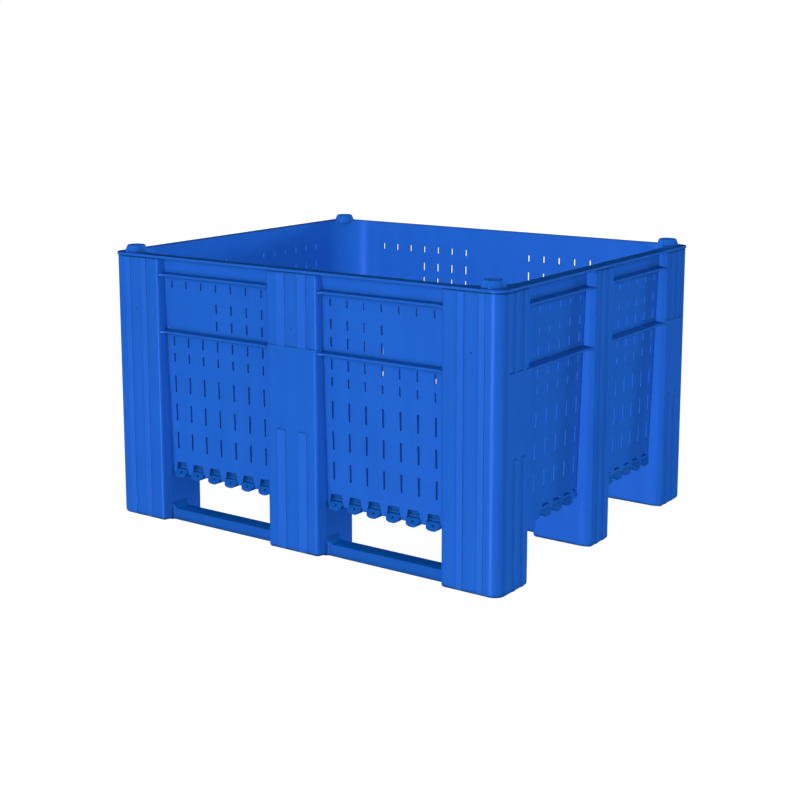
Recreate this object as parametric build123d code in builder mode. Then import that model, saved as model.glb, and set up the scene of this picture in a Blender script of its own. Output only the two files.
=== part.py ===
from build123d import *
import math
import os

os.makedirs("parts", exist_ok=True)

# ---------------------------------------------------------------- driving dimensions (mm)
# Frame: +X along the long side, +Y towards the rear, +Z up, origin on the ground at mid plan.
RIM_X, RIM_Y = 600.0, 500.0          # half plan of the rim lip
RIM_R = 33.0                         # plan corner radius of the rim
Z_RIM = 712.0                        # outer top edge of the rim
RIM_T = 6.0                          # rim flange thickness
RIM_RISE = 1.5                       # rise of the flange towards the inside
Z_TOP = Z_RIM - RIM_T                # walls and posts stop under the flange

Z_DECK = 146.0                       # floor surface
DECK_T = 5.0
Z_FOOT = Z_DECK - DECK_T             # feet reach up to the floor plate
Z_WALL = 130.0                       # lower edge of the walls in the bays
IN_X, IN_Y, IN_R = 569.0, 475.0, 110.0   # inside of the tub at the rim: half plan, corner radius
DRAFT_IN = 14.0                      # the inside narrows by this much down to the floor
WALL_T = 5.0
DRAFT = math.degrees(math.atan(DRAFT_IN / (Z_RIM - Z_DECK)))

FACE_X, FACE_Y = 597.5, 497.5        # plain faces of the posts
RIB_H = 2.0                          # raised strips on the posts
STEP = 2.5                           # set-back of the upper part of stepped posts
Y_STEP = 462.0                       # the set-back starts here, behind the rounded corner
Z_STEP_LONG, Z_STRIP_LONG = 520.0, 310.0
Z_STEP_SHORT, Z_STRIP_SHORT = 518.0, 316.0
POST_T = 5.0
K = 0.34                             # side slope of the posts in plan
CORNER_IN_X, CORNER_IN_Y = 440.0, 368.0   # inner edges of the corner posts at their faces
MID_X, MID_Y = 76.5, 47.0            # half widths of the middle posts at their faces
EDGE_R, CORNER_R = 8.0, 30.0
FOOT_D = 25.0                        # depth over which the foot sides slope
FOOT_R, LIP = 7.5, 8.0               # rounding of the sole edge and width of the sole lip
X_SEAM, Y_SEAM = 434.8, 361.1        # where the walls end behind the corner posts

FOOT_BACK_X = CORNER_IN_X - K * FOOT_D        # 431.5
FOOT_BACK_Y = CORNER_IN_Y - K * FOOT_D        # 359.5
FOOT_MID_X = MID_X + K * FOOT_D               # 85.0
FOOT_MID_Y = MID_Y + K * FOOT_D               # 55.5

SLOT_W = 6.0
COLS_LONG = (108, 158, 208, 258, 308, 358, 408)
COLS_SHORT = (83, 133, 183, 233, 283, 333)
ROWS = ((629, 649), (574, 599), (529, 555), (474, 500), (432, 456), (350, 396), (273, 320), (197, 243))
SHORT_ROWS = (1, 2)                  # rows missing on the outer columns of the long walls
COLS_FULL = 4

LEDGES = ((668.0, 664.5, 659.5), (518.0, 514.0, 509.0))   # inner top, edge top, underside
LEDGE_SET = 10.0                     # ledge edge behind the rim lip
FLARE = 24.0

LOBE_W, LOBE_R = 40.0, 17.0          # floor ribs end as rounded lobes under the walls
LOBE_X = (113, 170, 227, 284, 341.5, 399)
LOBE_Y = (111, 165.25, 219.5, 273.75, 328)
ENDS_SHORT = (-219.5, -165.25, -111.0, 111.0, 165.25, 219.5, 273.75, 328.0)   # rib ends that pass under the short walls
Z_SKIRT, SKIRT_Y = 124.0, 247.0      # straight skirt of the short walls next to the front corners
Z_LOBE, Z_NICHE = 121.0, 160.0       # underside of the lobes, top of the niches above them
CHUTE_X, CHUTE_Y = 8.0, 10.5         # the lobes stand out from the walls by this much
Z_LIP = 127.0                        # upper edge of the lobe lip
CROSS_LIFT = 1.7                     # the ribs along X are a little shallower than those along Y
RIB_T = 4.0
RIB_END = 20.0                       # the ribs are solid over this length at their ends

SKID_Y = 446.5                       # centre line of the outer skids
SKID_W, SKID_H, SKID_R = 44.0, 30.0, 18.0
PLUG_H, PLUG_T, PLUG_R = 40.0, 5.0, 7.0

LUG_X, LUG_Y = 551.0, 459.0
LUG_R, LUG_TOP_R, Z_LUG = 29.5, 19.5, 730.0

SCREW_R, HEAD_R = 3.0, 7.0


def hx(z):
    return IN_X - DRAFT_IN * (Z_RIM - z) / (Z_RIM - Z_DECK)


def hy(z):
    return IN_Y - DRAFT_IN * (Z_RIM - z) / (Z_RIM - Z_DECK)


def plan(points, radii, z):
    """Closed outline with rounded corners at height z."""
    with BuildSketch(Plane.XY.offset(z)) as s:
        with BuildLine():
            FilletPolyline(*points, radius=radii, close=True)
        make_face()
    return s.sketch


def rect_plan(x0, x1, y0, y1, z):
    with BuildSketch(Plane.XY.offset(z)) as s:
        with Locations(((x0 + x1) / 2, (y0 + y1) / 2)):
            Rectangle(x1 - x0, y1 - y0)
    return s.sketch


def tub(grow, z0, z1):
    """Drafted tub form, grown outwards by the given thickness."""
    with BuildPart() as b:
        with BuildSketch(Plane.XY.offset(z0)):
            RectangleRounded(2 * (hx(z0) + grow), 2 * (hy(z0) + grow), IN_R - (IN_X - hx(z0)) + grow)
        extrude(amount=z1 - z0, taper=-DRAFT)
    return b.part


CAVITY = tub(0.0, 100.0, 740.0)
TUB = tub(WALL_T, 100.0, 740.0)

with BuildPart() as skin_b:
    add(TUB)
    add(CAVITY, mode=Mode.SUBTRACT)
SKIN = skin_b.part

# ---------------------------------------------------------------- post outlines
XF = FACE_X - 40.0
YF = FACE_Y - 40.0


def corner_outline(set_x, grow):
    """Corner post, +X -Y corner, as (points, radii)."""
    g = grow
    e = max(EDGE_R - g, 2.0)
    pts = [
        (CORNER_IN_X - K * 40 + 1.06 * g, -YF),
        (CORNER_IN_X + 0.72 * g, -(FACE_Y - g)),
        (FACE_X - g, -(FACE_Y - g)),
    ]
    radii = [0, e, CORNER_R - g]
    if set_x:
        pts += [(FACE_X - g, -Y_STEP), (FACE_X - set_x - g, -Y_STEP + set_x)]
        radii += [0, 0]
    pts += [
        (FACE_X - set_x - g, -(CORNER_IN_Y + 0.72 * g - K * set_x)),
        (XF, -(CORNER_IN_Y - K * 40 + 1.06 * g)),
    ]
    return pts, radii + [e, 0]


def mid_long_outline(set_y, grow):
    g = grow
    w0, w1 = MID_X + K * set_y - 0.72 * g, MID_X + K * 40 - 1.06 * g
    fy = FACE_Y - set_y - g
    e = max(EDGE_R - g, 2.0)
    return [(-w1, -YF), (-w0, -fy), (w0, -fy), (w1, -YF)], [0, e, e, 0]


def mid_short_outline(grow):
    g = grow
    w0, w1 = MID_Y - 0.72 * g, MID_Y + K * 40 - 1.06 * g
    fx = FACE_X - g
    e = max(EDGE_R + 2 - g, 2.0)
    return [(XF, -w1), (fx, -w0), (fx, w0), (XF, w1)], [0, e, e, 0]


def corner_foot_outline(g):
    e = max(EDGE_R - g, 2.0)
    pts = [
        (FOOT_BACK_X + g, -(FACE_Y - FOOT_D - 0.17 * g)),
        (CORNER_IN_X + 0.72 * g, -(FACE_Y - g)),
        (FACE_X - g, -(FACE_Y - g)),
        (FACE_X - g, -(CORNER_IN_Y + 0.72 * g)),
        (FACE_X - FOOT_D - 0.17 * g, -(FOOT_BACK_Y + g)),
        (FOOT_BACK_X + g, -(FOOT_BACK_Y + g)),
    ]
    return pts, [0, e, CORNER_R - g, e, 0, e]


def long_foot_outline(g):
    e = max(EDGE_R - g, 2.0)
    w0, w1, yk = MID_X - 0.72 * g, FOOT_MID_X - g, FACE_Y - FOOT_D - 0.17 * g
    pts = [(-w1, -yk), (-w0, -(FACE_Y - g)), (w0, -(FACE_Y - g)), (w1, -yk),
           (w1, -(FOOT_BACK_Y + g)), (-w1, -(FOOT_BACK_Y + g))]
    return pts, [0, e, e, 0, e, e]


def short_foot_outline(g):
    e = max(EDGE_R + 2 - g, 2.0)
    w0, w1, xk = MID_Y - 0.72 * g, FOOT_MID_Y - g, FACE_X - FOOT_D - 0.17 * g
    pts = [(xk, -w1), (FACE_X - g, -w0), (FACE_X - g, w0), (xk, w1),
           (FOOT_BACK_X + g, w1), (FOOT_BACK_X + g, -w1)]
    return pts, [0, e, e, 0, e, e]


def centre_foot_outline(g):
    e = max(EDGE_R - g, 2.0)
    w, d = FOOT_MID_X - g, FOOT_MID_Y - g
    return [(-w, -d), (w, -d), (w, d), (-w, d)], [e, e, e, e]


def strips_long(centres, z0, z1, face):
    """Raised vertical strips on a face that looks towards -Y; centres are (x0, x1)."""
    with BuildPart() as b:
        with BuildSketch(Plane.XY.offset(z0)):
            for x0, x1 in centres:
                with BuildLine():
                    Polyline((x0 - 0.8, -face + 1.0), (x0 + 1.2, -face - RIB_H), (x1 - 1.2, -face - RIB_H),
                             (x1 + 0.8, -face + 1.0), close=True)
                make_face()
        extrude(amount=z1 - z0)
    return b.part


def strips_short(centres, z0, z1, face):
    """Raised vertical strips on a face that looks towards +X; centres are (y0, y1)."""
    with BuildPart() as b:
        with BuildSketch(Plane.XY.offset(z0)):
            for y0, y1 in centres:
                with BuildLine():
                    Polyline((face - 1.0, y0 - 3.5), (face + RIB_H, y0 + 4.5), (face + RIB_H, y1 - 4.5),
                             (face - 1.0, y1 + 3.5), close=True)
                make_face()
        extrude(amount=z1 - z0)
    return b.part


STRIPS_CORNER_LONG = ((480, 499), (536, 554))
STRIPS_CORNER_SHORT = ((-441, -423), (-403, -385))
STRIPS_MID_LONG = ((-47, -19), (19, 47))
STRIPS_MID_SHORT = ((-27, -9), (9, 27))

# ---------------------------------------------------------------- full post columns (for trimming the ledges)
with BuildPart() as corner_col:
    extrude(plan(*corner_outline(0, 0), Z_FOOT), amount=Z_STEP_SHORT - Z_FOOT)
    extrude(plan(*corner_outline(STEP, 0), Z_STEP_SHORT), amount=Z_TOP - Z_STEP_SHORT)
    add(TUB, mode=Mode.SUBTRACT)

with BuildPart() as long_col:
    extrude(plan(*mid_long_outline(0, 0), Z_FOOT), amount=Z_STEP_LONG - Z_FOOT)
    extrude(plan(*mid_long_outline(STEP, 0), Z_STEP_LONG), amount=Z_TOP - Z_STEP_LONG)
    add(TUB, mode=Mode.SUBTRACT)

with BuildPart() as short_col:
    extrude(plan(*mid_short_outline(0), Z_FOOT), amount=Z_TOP - Z_FOOT)
    add(TUB, mode=Mode.SUBTRACT)

# ---------------------------------------------------------------- corner posts
with BuildPart() as corner_post:
    add(corner_col.part)
    extrude(plan(*corner_outline(STEP, POST_T), Z_FOOT), amount=Z_TOP - Z_FOOT, mode=Mode.SUBTRACT)
    add(strips_long(STRIPS_CORNER_LONG, Z_FOOT, Z_TOP, FACE_Y))
    add(strips_short(STRIPS_CORNER_SHORT, Z_STEP_SHORT, Z_TOP, FACE_X - STEP))
    add(strips_short(STRIPS_CORNER_SHORT, Z_FOOT, Z_STRIP_SHORT, FACE_X))
    # small moulding mark on the long face
    with BuildSketch(Plane.XZ.offset(FACE_Y - 1.2)):
        with Locations((517.5, 566.0)):
            Circle(2.5)
    extrude(amount=4.0, mode=Mode.SUBTRACT)

with BuildPart() as corner_skin:
    add(SKIN)
    extrude(rect_plan(X_SEAM, 620, -520, -Y_SEAM, Z_FOOT), amount=Z_TOP - Z_FOOT, mode=Mode.INTERSECT)

with BuildPart() as front_right_corner_post:
    add(corner_post.part)
    add(corner_skin.part)

with BuildPart() as front_left_corner_post:
    mirror(front_right_corner_post.part, about=Plane.YZ)

with BuildPart() as rear_right_corner_post:
    mirror(front_right_corner_post.part, about=Plane.XZ)

with BuildPart() as rear_left_corner_post:
    mirror(front_left_corner_post.part, about=Plane.XZ)

# ---------------------------------------------------------------- middle posts
with BuildPart() as front_centre_post:
    add(long_col.part)
    extrude(plan(*mid_long_outline(STEP, POST_T), Z_FOOT), amount=Z_TOP - Z_FOOT, mode=Mode.SUBTRACT)
    add(strips_long(STRIPS_MID_LONG, Z_STEP_LONG, Z_TOP, FACE_Y - STEP))
    add(strips_long(STRIPS_MID_LONG, Z_FOOT, Z_STRIP_LONG, FACE_Y))
    with BuildSketch(Plane.XZ.offset(FACE_Y - STEP - 1.2)):
        with Locations((0.0, 566.0)):
            Circle(2.5)
    extrude(amount=4.0, mode=Mode.SUBTRACT)

with BuildPart() as rear_centre_post:
    mirror(front_centre_post.part, about=Plane.XZ)

with BuildPart() as right_centre_post:
    add(short_col.part)
    extrude(plan(*mid_short_outline(POST_T), Z_FOOT), amount=Z_TOP - Z_FOOT, mode=Mode.SUBTRACT)
    add(strips_short(STRIPS_MID_SHORT, Z_FOOT, Z_TOP, FACE_X))

with BuildPart() as left_centre_post:
    mirror(right_centre_post.part, about=Plane.YZ)

# ---------------------------------------------------------------- feet
Z_WEB, WEB_T = 60.0, 5.0             # cross web that carries the screw bosses
BOSS_R = 10.0
BOSS_CORNER = ((490.0, -388.0), (490.0, -448.0))
BOSS_LONG = ((-45.0, -416.0), (45.0, -416.0))
BOSS_SHORT = ((470.0, 0.0), (535.0, 0.0))
BOSS_CENTRE = ((-45.0, 0.0), (45.0, 0.0))
NOTCH = 0.5
TONGUE_Y0, TONGUE_Y1 = -466.5, -427.5
Z_STRIP = 4.0                        # the raised strips end just above the rounded sole edge


def foot_block(outline):
    """Full body of a foot with its rounded sole edge."""
    with BuildPart() as b:
        extrude(plan(*outline(0), 0.0), amount=Z_FOOT)
        fillet(b.edges().filter_by(lambda e: abs(e.center().Z) < 0.01), radius=FOOT_R)
    return b.part


def foot(outline, bosses, notches):
    with BuildPart() as b:
        add(foot_block(outline))
        extrude(plan(*outline(LIP), 0.0), amount=LIP, mode=Mode.SUBTRACT)
        extrude(plan(*outline(POST_T), LIP), amount=Z_WEB - LIP, mode=Mode.SUBTRACT)
        extrude(plan(*outline(POST_T), Z_WEB + WEB_T), amount=Z_FOOT - Z_WEB - WEB_T, mode=Mode.SUBTRACT)
        with BuildSketch(Plane.XY.offset(PLUG_H + 0.2)):
            with Locations(*bosses):
                Circle(BOSS_R)
        extrude(amount=Z_WEB - PLUG_H - 0.2)
        with BuildSketch(Plane.XY.offset(PLUG_H)):
            with Locations(*bosses):
                Circle(SCREW_R + 0.05)
        extrude(amount=18.0, mode=Mode.SUBTRACT)
        for x0, x1, y0, y1 in notches:
            extrude(rect_plan(x0, x1, y0 - NOTCH, y1 + NOTCH, 0.0), amount=SKID_H + NOTCH, mode=Mode.SUBTRACT)
    return b.part


with BuildPart() as front_right_corner_foot:
    add(foot(corner_foot_outline, BOSS_CORNER, ((425, 441, TONGUE_Y0, TONGUE_Y1),)))
    add(strips_long(STRIPS_CORNER_LONG, Z_STRIP, Z_FOOT, FACE_Y))
    add(strips_short(STRIPS_CORNER_SHORT, Z_STRIP, Z_FOOT, FACE_X))

with BuildPart() as front_left_corner_foot:
    mirror(front_right_corner_foot.part, about=Plane.YZ)

with BuildPart() as rear_right_corner_foot:
    mirror(front_right_corner_foot.part, about=Plane.XZ)

with BuildPart() as rear_left_corner_foot:
    mirror(front_left_corner_foot.part, about=Plane.XZ)

with BuildPart() as front_centre_foot:
    add(foot(long_foot_outline, BOSS_LONG,
             ((-92, -76, TONGUE_Y0, TONGUE_Y1), (76, 92, TONGUE_Y0, TONGUE_Y1))))
    add(strips_long(STRIPS_MID_LONG, Z_STRIP, Z_FOOT, FACE_Y))

with BuildPart() as rear_centre_foot:
    mirror(front_centre_foot.part, about=Plane.XZ)

with BuildPart() as right_centre_foot:
    add(foot(short_foot_outline, BOSS_SHORT, ((425, 441, -SKID_W / 2, SKID_W / 2),)))
    add(strips_short(STRIPS_MID_SHORT, Z_STRIP, Z_FOOT, FACE_X))

with BuildPart() as left_centre_foot:
    mirror(right_centre_foot.part, about=Plane.YZ)

with BuildPart() as centre_foot:
    add(foot(centre_foot_outline, BOSS_CENTRE,
             ((-92, -76, -SKID_W / 2, SKID_W / 2), (76, 92, -SKID_W / 2, SKID_W / 2))))


# ---------------------------------------------------------------- walls
def ledge(z_in, z_edge, z_under, x0, x1):
    """Weathered ledge on the front wall between two posts; the ends flare out to the post faces."""
    y_edge, y_face = RIM_Y - LEDGE_SET, FACE_Y - 2.0
    y_in = hy(z_in) + WALL_T
    rise = (z_in - z_edge) / (y_edge - y_in)
    with BuildPart() as b:
        with BuildSketch(Plane.YZ.offset(x0)):
            with BuildLine():
                Polyline((-465, z_under), (-(y_face + 1), z_under), (-(y_face + 1), z_edge - rise * (y_face + 1 - y_edge)),
                         (-y_edge, z_edge), (-y_in, z_in), (-465, z_in + rise * (y_in - 465)), close=True)
            make_face()
        extrude(amount=x1 - x0)
        with BuildSketch(Plane.XY.offset(z_under - 5)):
            with BuildLine():
                Line((x0, -440), (x0, -y_face))
                TangentArc((x0 + FLARE, -y_edge), (x0, -y_face), tangent=(-1, 0))
                Line((x0 + FLARE, -y_edge), (x1 - FLARE, -y_edge))
                TangentArc((x1 - FLARE, -y_edge), (x1, -y_face), tangent=(1, 0))
                Line((x1, -y_face), (x1, -440))
                Line((x1, -440), (x0, -440))
            make_face()
        extrude(amount=60, mode=Mode.INTERSECT)
    return b.part


def ledge_short(z_in, z_edge, z_under, y0, y1):
    """The same ledge on the right wall."""
    x_edge, x_face = RIM_X - LEDGE_SET, FACE_X - 2.0
    x_in = hx(z_in) + WALL_T
    rise = (z_in - z_edge) / (x_edge - x_in)
    with BuildPart() as b:
        with BuildSketch(Plane.XZ.offset(-y0)):
            with BuildLine():
                Polyline((559, z_under), (x_face + 1, z_under), (x_face + 1, z_edge - rise * (x_face + 1 - x_edge)),
                         (x_edge, z_edge), (x_in, z_in), (559, z_in + rise * (x_in - 559)), close=True)
            make_face()
        extrude(amount=-(y1 - y0))
        with BuildSketch(Plane.XY.offset(z_under - 5)):
            with BuildLine():
                Line((530, y0), (x_face, y0))
                TangentArc((x_edge, y0 + FLARE), (x_face, y0), tangent=(0, -1))
                Line((x_edge, y0 + FLARE), (x_edge, y1 - FLARE))
                TangentArc((x_edge, y1 - FLARE), (x_face, y1), tangent=(0, 1))
                Line((x_face, y1), (530, y1))
                Line((530, y1), (530, y0))
            make_face()
        extrude(amount=60, mode=Mode.INTERSECT)
    return b.part


OUT_Y = hy(Z_WALL) + WALL_T
OUT_X = hx(Z_WALL) + WALL_T
NICHE_IN = 10.5                      # depth of the niches behind the outer wall face

# niches above the lobes of the long sides, open below where the rib ends pass under the wall
with BuildPart() as niches_long:
    with BuildSketch(Plane.YZ.offset(-430)):
        with BuildLine():
            Polyline((-(OUT_Y + 25), 112), (-(OUT_Y + 25), Z_NICHE + 5), (-(OUT_Y + 8), Z_NICHE + 5),
                     (-(OUT_Y - NICHE_IN + 1), Z_NICHE - 6), (-(OUT_Y - NICHE_IN), Z_DECK + 3.2),
                     (-(OUT_Y - NICHE_IN + 2.8), Z_DECK + 0.2), (-(OUT_Y - NICHE_IN + 2.8), 112), close=True)
        make_face()
    extrude(amount=860)
    with BuildSketch(Plane.XZ.offset(430)):
        for s in (-1, 1):
            for x in LOBE_X:
                c, w = s * x, LOBE_W / 2 + 0.2
                with BuildLine():
                    FilletPolyline((c - w, 105), (c + w, 105), (c + w, Z_FOOT + 0.2), (c + w - 1.7, Z_FOOT + 2),
                                   (c + w - 3.7, Z_NICHE), (c - w + 3.7, Z_NICHE), (c - w + 1.7, Z_FOOT + 2),
                                   (c - w, Z_FOOT + 0.2), radius=[0, 0, 0, 0, 5, 5, 0, 0], close=True)
                make_face()
    extrude(amount=80, mode=Mode.INTERSECT)

# rounded humps on the inside of the long walls that close the niches
with BuildPart() as humps_long:
    with BuildSketch(Plane.YZ.offset(-430)):
        with BuildLine():
            FilletPolyline((-(OUT_Y - 2.5), Z_DECK), (-(OUT_Y - 2.5), Z_NICHE + 10), (-(OUT_Y - 4.5), Z_NICHE + 10),
                           (-(OUT_Y - NICHE_IN - 4), Z_NICHE - 1), (-(OUT_Y - NICHE_IN - 4), Z_DECK),
                           radius=[0, 0, 0, 4, 0], close=True)
        make_face()
    extrude(amount=860)
    with BuildSketch(Plane.XZ.offset(430)):
        for s in (-1, 1):
            for x in LOBE_X:
                c, w = s * x, LOBE_W / 2 + 2.0
                with BuildLine():
                    Polyline((c - w, 105), (c + w, 105), (c + w, Z_NICHE + 14), (c - w, Z_NICHE + 14), close=True)
                make_face()
    extrude(amount=80, mode=Mode.INTERSECT)

# passages for the rib ends under the short walls
with BuildPart() as niches_short:
    with BuildSketch(Plane.YZ.offset(520)):
        for c in ENDS_SHORT:
            w = LOBE_W / 2 + 0.2
            with BuildLine():
                Polyline((c - w, 105), (c + w, 105), (c + w, Z_FOOT + 0.2), (c - w, Z_FOOT + 0.2), close=True)
            make_face()
    extrude(amount=80)

# straight skirt of the right wall beside the front corner
with BuildPart() as skirt:
    add(SKIN)
    extrude(rect_plan(500, 620, -FOOT_BACK_Y + 0.6, -SKIRT_Y, Z_SKIRT), amount=Z_WALL + 1 - Z_SKIRT, mode=Mode.INTERSECT)

with BuildPart() as corner_block:
    add(corner_col.part)
    add(corner_skin.part)

with BuildPart() as corner_block_l:
    mirror(corner_block.part, about=Plane.YZ)

with BuildPart() as corner_block_r:
    mirror(corner_block.part, about=Plane.XZ)

with BuildPart() as front_wall:
    add(SKIN)
    extrude(rect_plan(-X_SEAM, X_SEAM, -520, -400, Z_WALL), amount=Z_TOP - Z_WALL, mode=Mode.INTERSECT)
    for zi, ze, zu in LEDGES:
        add(ledge(zi, ze, zu, MID_X - 1, CORNER_IN_X + 1))
        add(ledge(zi, ze, zu, -CORNER_IN_X - 1, -MID_X + 1))
    add(CAVITY, mode=Mode.SUBTRACT)
    add(long_col.part, mode=Mode.SUBTRACT)
    add(corner_block.part, mode=Mode.SUBTRACT)
    add(corner_block_l.part, mode=Mode.SUBTRACT)
    extrude(rect_plan(-FOOT_MID_X - 0.5, FOOT_MID_X + 0.5, -520, -400, 100), amount=Z_FOOT - 100, mode=Mode.SUBTRACT)
    extrude(rect_plan(FOOT_BACK_X - 0.5, 460, -520, -400, 100), amount=Z_FOOT - 100, mode=Mode.SUBTRACT)
    extrude(rect_plan(-460, -FOOT_BACK_X + 0.5, -520, -400, 100), amount=Z_FOOT - 100, mode=Mode.SUBTRACT)
    add(humps_long.part)
    add(niches_long.part, mode=Mode.SUBTRACT)
    with BuildSketch(Plane.XZ.offset(440)):
        for s in (-1, 1):
            for i, x in enumerate(COLS_LONG):
                for j, (z0, z1) in enumerate(ROWS):
                    if j in SHORT_ROWS and i >= COLS_FULL:
                        continue
                    with Locations((s * x, (z0 + z1) / 2)):
                        SlotOverall(z1 - z0, SLOT_W, rotation=90)
    extrude(amount=60, mode=Mode.SUBTRACT)

with BuildPart() as rear_wall:
    mirror(front_wall.part, about=Plane.XZ)

with BuildPart() as right_wall:
    add(SKIN)
    extrude(rect_plan(500, 620, -Y_SEAM, Y_SEAM, Z_WALL), amount=Z_TOP - Z_WALL, mode=Mode.INTERSECT)
    for zi, ze, zu in LEDGES:
        add(ledge_short(zi, ze, zu, MID_Y - 1, CORNER_IN_Y + 1))
        add(ledge_short(zi, ze, zu, -CORNER_IN_Y - 1, -MID_Y + 1))
    add(CAVITY, mode=Mode.SUBTRACT)
    add(short_col.part, mode=Mode.SUBTRACT)
    add(corner_block.part, mode=Mode.SUBTRACT)
    add(corner_block_r.part, mode=Mode.SUBTRACT)
    extrude(rect_plan(500, 620, -FOOT_MID_Y - 0.5, FOOT_MID_Y + 0.5, 100), amount=Z_FOOT - 100, mode=Mode.SUBTRACT)
    extrude(rect_plan(500, 620, FOOT_BACK_Y - 0.5, 380, 100), amount=Z_FOOT - 100, mode=Mode.SUBTRACT)
    extrude(rect_plan(500, 620, -380, -FOOT_BACK_Y + 0.5, 100), amount=Z_FOOT - 100, mode=Mode.SUBTRACT)
    add(niches_short.part, mode=Mode.SUBTRACT)
    add(skirt.part)
    with BuildSketch(Plane.YZ.offset(540)):
        for s in (-1, 1):
            for y in COLS_SHORT:
                for z0, z1 in ROWS:
                    with Locations((s * y, (z0 + z1) / 2)):
                        SlotOverall(z1 - z0, SLOT_W, rotation=90)
        # drain slots above the lobes
        for y in ENDS_SHORT:
            with Locations((y, Z_DECK + 6)):
                SlotOverall(36, 8)
        for y in (-71.0, 71.0):
            with Locations((y, Z_DECK + 6)):
                SlotOverall(18, 8)
    extrude(amount=50, mode=Mode.SUBTRACT)

with BuildPart() as left_wall:
    mirror(right_wall.part, about=Plane.YZ)

# ---------------------------------------------------------------- floor
with BuildPart() as floor_deck:
    with BuildSketch(Plane.XY.offset(Z_FOOT)):
        RectangleRounded(2 * (hx(Z_FOOT) - 0.1), 2 * (hy(Z_FOOT) - 0.1), IN_R - (IN_X - hx(Z_FOOT)) - 0.1)
    extrude(amount=DECK_T)
    with BuildSketch(Plane.XY.offset(Z_FOOT)):
        for sx in (-1, 1):
            for sy in (-1, 1):
                for i in range(len(LOBE_X) - 1):
                    for j in range(len(LOBE_Y) - 1):
                        with Locations((sx * (LOBE_X[i] + LOBE_X[i + 1]) / 2, sy * (LOBE_Y[j] + LOBE_Y[j + 1]) / 2)):
                            SlotOverall(14, 7)
    extrude(amount=DECK_T, mode=Mode.SUBTRACT)
    add(niches_long.part, mode=Mode.SUBTRACT)
    add(mirror(niches_long.part, about=Plane.XZ, mode=Mode.PRIVATE), mode=Mode.SUBTRACT)


def rib_outline(c, inset, lift):
    """U section of a floor rib, centred on c, in the plane of its end view."""
    w = LOBE_W / 2 - inset
    r = LOBE_R - inset - lift
    z = Z_LOBE + inset + lift
    return FilletPolyline((c - w, Z_DECK + 4), (c - w, z), (c + w, z), (c + w, Z_DECK + 4),
                          radius=[0, r, r, 0], close=True)


def rib_bars(axis, inset):
    """Floor ribs along one axis; with an inset, their hollows."""
    out, lip, span = (OUT_Y, CHUTE_Y, 440) if axis == "Y" else (OUT_X, CHUTE_X, 370)
    e, top, r = (out + lip, Z_FOOT, 5.0) if inset == 0 else (out - RIB_END, Z_FOOT + 1, 0)
    zb = Z_LOBE - 1.5
    with BuildPart() as b:
        with BuildSketch(Plane.YZ.offset(-span) if axis == "Y" else Plane.XZ.offset(-span)):
            with BuildLine():
                FilletPolyline((-e, zb), (e, zb), (e, top), (-e, top), radius=[r, r, 0, 0], close=True)
            make_face()
        extrude(amount=2 * span)
        with BuildSketch(Plane.XZ.offset(-600) if axis == "Y" else Plane.YZ.offset(-600)):
            for s in (-1, 1):
                for c in (LOBE_X if axis == "Y" else LOBE_Y):
                    with BuildLine():
                        rib_outline(s * c, inset, 0.0 if axis == "Y" else CROSS_LIFT)
                    make_face()
        extrude(amount=1200, mode=Mode.INTERSECT)
    return b.part


RISE = (Z_DECK + 3.2 - Z_LIP) / (CHUTE_Y + NICHE_IN)

with BuildPart() as floor_rib_grid:
    add(rib_bars("Y", 0.0))
    add(rib_bars("X", 0.0))
    add(rib_bars("Y", RIB_T), mode=Mode.SUBTRACT)
    add(rib_bars("X", RIB_T), mode=Mode.SUBTRACT)
    # sloping upper faces of the lobes
    with BuildSketch(Plane.YZ.offset(-430)):
        for s in (-1, 1):
            with BuildLine():
                Polyline((s * (OUT_Y + CHUTE_Y + 3), Z_LIP - 3 * RISE), (s * (OUT_Y + CHUTE_Y - 20), Z_LIP + 20 * RISE),
                         (s * (OUT_Y + CHUTE_Y + 3), Z_LIP + 20 * RISE), close=True)
            make_face()
    extrude(amount=860, mode=Mode.SUBTRACT)
    with BuildSketch(Plane.XZ.offset(-360)):
        for s in (-1, 1):
            with BuildLine():
                Polyline((s * (OUT_X + CHUTE_X + 3), Z_LIP - 4), (s * (OUT_X - 1), Z_FOOT + 0.5),
                         (s * (OUT_X + CHUTE_X + 3), Z_FOOT + 5), close=True)
            make_face()
    extrude(amount=720, mode=Mode.SUBTRACT)
    # the ribs behind the skirts stop at the walls
    for x0, x1 in ((hx(Z_SKIRT) - 0.3, 620), (-620, -hx(Z_SKIRT) + 0.3)):
        extrude(rect_plan(x0, x1, -FOOT_BACK_Y, -SKIRT_Y + 0.4, 100), amount=60, mode=Mode.SUBTRACT)
    # small drain holes in the lobes of the long sides
    with BuildSketch(Plane.XZ.offset(OUT_Y - RIB_END - 2)):
        for s in (-1, 1):
            for x in LOBE_X:
                with Locations((s * x, 133.5)):
                    Circle(2.6)
    extrude(amount=40, mode=Mode.SUBTRACT)
    with BuildSketch(Plane.XZ.offset(-(OUT_Y - RIB_END - 2))):
        for s in (-1, 1):
            for x in LOBE_X:
                with Locations((s * x, 133.5)):
                    Circle(2.6)
    extrude(amount=-40, mode=Mode.SUBTRACT)

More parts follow.
